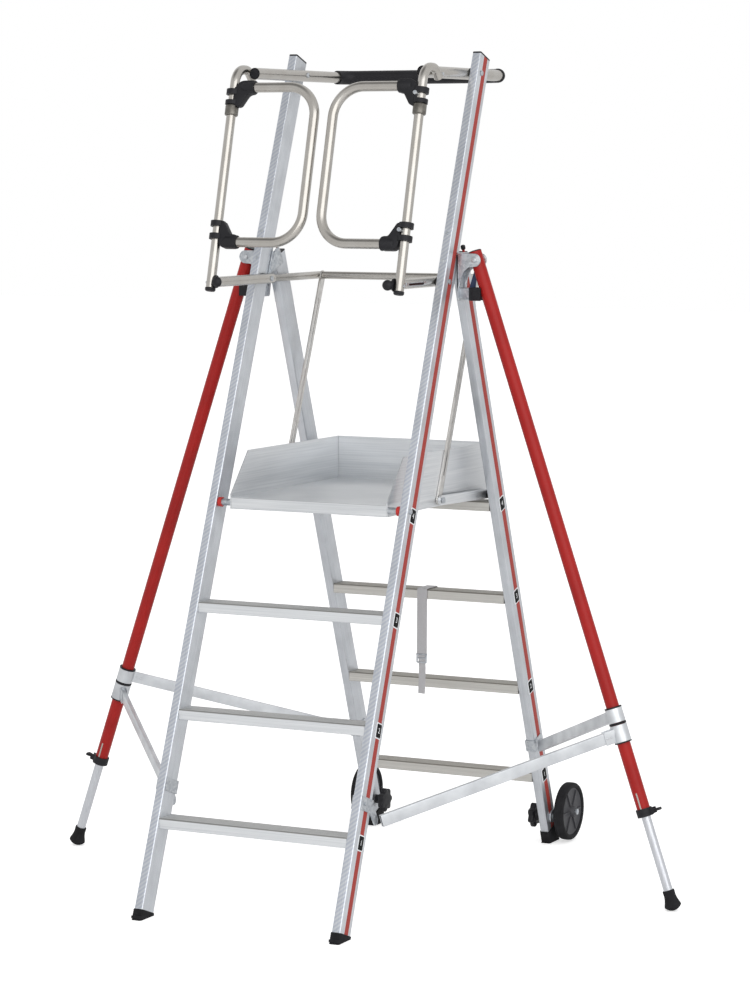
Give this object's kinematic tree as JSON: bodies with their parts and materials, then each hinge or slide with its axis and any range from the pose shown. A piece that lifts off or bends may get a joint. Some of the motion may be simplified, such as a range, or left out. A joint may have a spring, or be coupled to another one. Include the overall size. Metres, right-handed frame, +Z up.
{
  "type": "mobile ladder stand",
  "caption": "Folding mobile ladder stand with a guarded platform, swing doors, braced telescopic outriggers and rear wheels",
  "frame": {"origin": "on the floor, at the middle of the stand's width and length", "axes": "+X to the right of a person climbing, +Y towards the wheels, +Z up"},
  "size_m": [1.8044, 1.4352, 2.1631],
  "materials": {
    "aluminium": "extruded, satin",
    "ribbed_aluminium": "extruded, finely ribbed",
    "satin_tube": "satin drawn tube",
    "zinc_steel": "zinc plated",
    "red_paint": "powder coated, semi-gloss",
    "black_plastic": "moulded, matt",
    "black_rubber": "moulded",
    "grey_webbing": "woven webbing"
  },
  "bodies": {
    "front_ladder": {"front_stile_right": "aluminium", "front_stile_left": "aluminium", "front_shoe_right": "black_rubber", "front_shoe_left": "black_rubber", "hinge_bracket_right": "zinc_steel", "hinge_bracket_left": "zinc_steel", "front_rung_1": "ribbed_aluminium", "front_rung_2": "ribbed_aluminium", "front_rung_3": "ribbed_aluminium"},
    "rear_frame": {"rear_stile_right": "aluminium", "rear_stile_left": "aluminium", "rear_shoe_right": "black_rubber", "rear_shoe_left": "black_rubber", "wheel_bracket_right": "zinc_steel", "wheel_bracket_left": "zinc_steel", "rear_rung_1": "ribbed_aluminium", "rear_rung_2": "ribbed_aluminium", "rear_rung_3": "ribbed_aluminium", "rear_rung_4": "ribbed_aluminium", "strap": "grey_webbing"},
    "platform": {"platform_deck": "aluminium", "rear_toe_board": "aluminium", "side_toe_board_right": "aluminium", "side_toe_board_left": "aluminium"},
    "guard_rail": {"guard_rail": "satin_tube", "grip_sleeve": "black_plastic"},
    "knee_rail": {"knee_rail": "satin_tube"},
    "link_right": {"link_bar_right": "satin_tube"},
    "arm_right": {"side_arm_right": "aluminium"},
    "post_right": {"door_post_right": "satin_tube"},
    "door_right": {"door_right": "satin_tube", "upper_door_clamp_right": "black_plastic", "lower_door_clamp_right": "black_plastic"},
    "wheel_right": {"wheel_right": "black_rubber"},
    "star_knob_right": {"star_knob_right": "black_plastic"},
    "lock_knob_right": {"lock_knob_right": "black_plastic"},
    "outrigger_right": {"outrigger_tube_right": "red_paint", "leg_clamp_right": "black_plastic"},
    "lever_right": {"clamp_lever_right": "black_plastic"},
    "leg_right": {"leg_tube_right": "aluminium", "foot_right": "black_rubber"},
    "front_strut_right": {"front_strut_right": "aluminium"},
    "rear_strut_right": {"rear_strut_right": "aluminium"},
    "link_left": {"link_bar_left": "satin_tube"},
    "arm_left": {"side_arm_left": "aluminium"},
    "post_left": {"door_post_left": "satin_tube"},
    "door_left": {"door_left": "satin_tube", "upper_door_clamp_left": "black_plastic", "lower_door_clamp_left": "black_plastic"},
    "wheel_left": {"wheel_left": "black_rubber"},
    "star_knob_left": {"star_knob_left": "black_plastic"},
    "lock_knob_left": {"lock_knob_left": "black_plastic"},
    "outrigger_left": {"outrigger_tube_left": "red_paint", "leg_clamp_left": "black_plastic"},
    "lever_left": {"clamp_lever_left": "black_plastic"},
    "leg_left": {"leg_tube_left": "aluminium", "foot_left": "black_rubber"},
    "front_strut_left": {"front_strut_left": "aluminium"},
    "rear_strut_left": {"rear_strut_left": "aluminium"}
  },
  "joints": [
    {"name": "platform_fold", "type": "hinge", "parent": "front_ladder", "child": "platform", "pos_m": [0, -0.31243, 1.012], "axis": [1, 0, 0], "range_deg": [0, 50]},
    {"name": "rear_fold", "type": "hinge", "parent": "front_ladder", "child": "rear_frame", "pos_m": [0, 0.00507, 1.63], "axis": [1, 0, 0], "range_deg": [-26.7, 0]},
    {"name": "guard_rail_fold", "type": "hinge", "parent": "front_ladder", "child": "guard_rail", "pos_m": [0, 0.11257, 2.107], "axis": [1, 0, 0], "range_deg": [0, 50.1]},
    {"name": "knee_rail_fold", "type": "hinge", "parent": "front_ladder", "child": "knee_rail", "pos_m": [0, -0.08343, 1.577], "axis": [1, 0, 0], "range_deg": [0, 50.1]},
    {"name": "link_fold_right", "type": "hinge", "parent": "platform", "child": "link_right", "pos_m": [0.228, -0.02743, 1.012], "axis": [1, 0, 0], "range_deg": [-50.1, 0]},
    {"name": "arm_fold_right", "type": "hinge", "parent": "platform", "child": "arm_right", "pos_m": [0.235, -0.02743, 1.012], "axis": [1, 0, 0], "range_deg": [-122.2, 0]},
    {"name": "post_fold_right", "type": "hinge", "parent": "guard_rail", "child": "post_right", "pos_m": [0.26, -0.11443, 2.1], "axis": [1, 0, 0], "range_deg": [-50.1, 0]},
    {"name": "door_swing_right", "type": "hinge", "parent": "post_right", "child": "door_right", "pos_m": [0.267, -0.26257, 1.86551], "axis": [0, 0.2495, 0.9684], "range_deg": [-80, 0], "stiffness_Nm_per_rad": 1.5, "springref_deg": 34.38},
    {"name": "wheel_spin_right", "type": "hinge", "parent": "rear_frame", "child": "wheel_right", "pos_m": [0.314, 0.63757, 0.084], "axis": [1, 0, 0], "continuous": true},
    {"name": "star_knob_turn_right", "type": "hinge", "parent": "rear_frame", "child": "star_knob_right", "pos_m": [0.24, 0.58757, 0.076], "axis": [1, 0, 0], "continuous": true},
    {"name": "lock_knob_slide_right", "type": "slide", "parent": "rear_frame", "child": "lock_knob_right", "axis": [0, -0.3448, 0.9387], "range_m": [0, 0.008], "stiffness_N_per_m": 400, "springref_m": -0.005},
    {"name": "outrigger_fold_right", "type": "hinge", "parent": "front_ladder", "child": "outrigger_right", "pos_m": [0.332, -0.01943, 1.631], "axis": [0, 1, 0], "range_deg": [0, 18.74]},
    {"name": "lever_turn_right", "type": "hinge", "parent": "outrigger_right", "child": "lever_right", "pos_m": [0.82681, -0.01943, 0.25344], "axis": [0, 1, 0], "range_deg": [0, 75]},
    {"name": "leg_slide_right", "type": "slide", "parent": "outrigger_right", "child": "leg_right", "axis": [-0.3213, 0, 0.947], "range_m": [0, 0.19]},
    {"name": "front_strut_swivel_right", "type": "hinge", "parent": "outrigger_right", "child": "front_strut_right", "pos_m": [0.7352, -0.01943, 0.44253], "axis": [-0.3213, 0, 0.947], "range_deg": [0, 52.6]},
    {"name": "rear_strut_swivel_right", "type": "hinge", "parent": "outrigger_right", "child": "rear_strut_right", "pos_m": [0.7201, -0.01943, 0.48704], "axis": [0.3213, 0, -0.947], "range_deg": [0, 52.6]},
    {"name": "link_fold_left", "type": "hinge", "parent": "platform", "child": "link_left", "pos_m": [-0.228, -0.02743, 1.012], "axis": [1, 0, 0], "range_deg": [-50.1, 0]},
    {"name": "arm_fold_left", "type": "hinge", "parent": "platform", "child": "arm_left", "pos_m": [-0.235, -0.02743, 1.012], "axis": [1, 0, 0], "range_deg": [-122.2, 0]},
    {"name": "post_fold_left", "type": "hinge", "parent": "guard_rail", "child": "post_left", "pos_m": [-0.26, -0.11443, 2.1], "axis": [1, 0, 0], "range_deg": [-50.1, 0]},
    {"name": "door_swing_left", "type": "hinge", "parent": "post_left", "child": "door_left", "pos_m": [-0.267, -0.26257, 1.86551], "axis": [0, -0.2495, -0.9684], "range_deg": [-80, 0], "stiffness_Nm_per_rad": 1.5, "springref_deg": 34.38},
    {"name": "wheel_spin_left", "type": "hinge", "parent": "rear_frame", "child": "wheel_left", "pos_m": [-0.314, 0.63757, 0.084], "axis": [1, 0, 0], "continuous": true},
    {"name": "star_knob_turn_left", "type": "hinge", "parent": "rear_frame", "child": "star_knob_left", "pos_m": [-0.24, 0.58757, 0.076], "axis": [1, 0, 0], "continuous": true},
    {"name": "lock_knob_slide_left", "type": "slide", "parent": "rear_frame", "child": "lock_knob_left", "axis": [0, -0.3448, 0.9387], "range_m": [0, 0.008], "stiffness_N_per_m": 400, "springref_m": -0.005},
    {"name": "outrigger_fold_left", "type": "hinge", "parent": "front_ladder", "child": "outrigger_left", "pos_m": [-0.332, -0.01943, 1.631], "axis": [0, -1, 0], "range_deg": [0, 18.74]},
    {"name": "lever_turn_left", "type": "hinge", "parent": "outrigger_left", "child": "lever_left", "pos_m": [-0.82681, -0.01943, 0.25344], "axis": [0, -1, 0], "range_deg": [0, 75]},
    {"name": "leg_slide_left", "type": "slide", "parent": "outrigger_left", "child": "leg_left", "axis": [0.3213, 0, 0.947], "range_m": [0, 0.19]},
    {"name": "front_strut_swivel_left", "type": "hinge", "parent": "outrigger_left", "child": "front_strut_left", "pos_m": [-0.7352, -0.01943, 0.44253], "axis": [-0.3213, 0, -0.947], "range_deg": [0, 52.6]},
    {"name": "rear_strut_swivel_left", "type": "hinge", "parent": "outrigger_left", "child": "rear_strut_left", "pos_m": [-0.7201, -0.01943, 0.48704], "axis": [0.3213, 0, 0.947], "range_deg": [0, 52.6]}
  ],
  "couplings": [
    {"joint": "rear_fold", "follows": "platform_fold", "ratio": -0.5326},
    {"joint": "guard_rail_fold", "follows": "platform_fold", "ratio": 1},
    {"joint": "knee_rail_fold", "follows": "platform_fold", "ratio": 1},
    {"joint": "link_fold_right", "follows": "platform_fold", "ratio": -1},
    {"joint": "arm_fold_right", "follows": "platform_fold", "ratio": -2.442},
    {"joint": "post_fold_right", "follows": "platform_fold", "ratio": -1},
    {"joint": "front_strut_swivel_right", "follows": "outrigger_fold_right", "ratio": 2.8},
    {"joint": "rear_strut_swivel_right", "follows": "outrigger_fold_right", "ratio": 2.8},
    {"joint": "link_fold_left", "follows": "platform_fold", "ratio": -1},
    {"joint": "arm_fold_left", "follows": "platform_fold", "ratio": -2.442},
    {"joint": "post_fold_left", "follows": "platform_fold", "ratio": -1},
    {"joint": "front_strut_swivel_left", "follows": "outrigger_fold_left", "ratio": 2.8},
    {"joint": "rear_strut_swivel_left", "follows": "outrigger_fold_left", "ratio": 2.8}
  ]
}
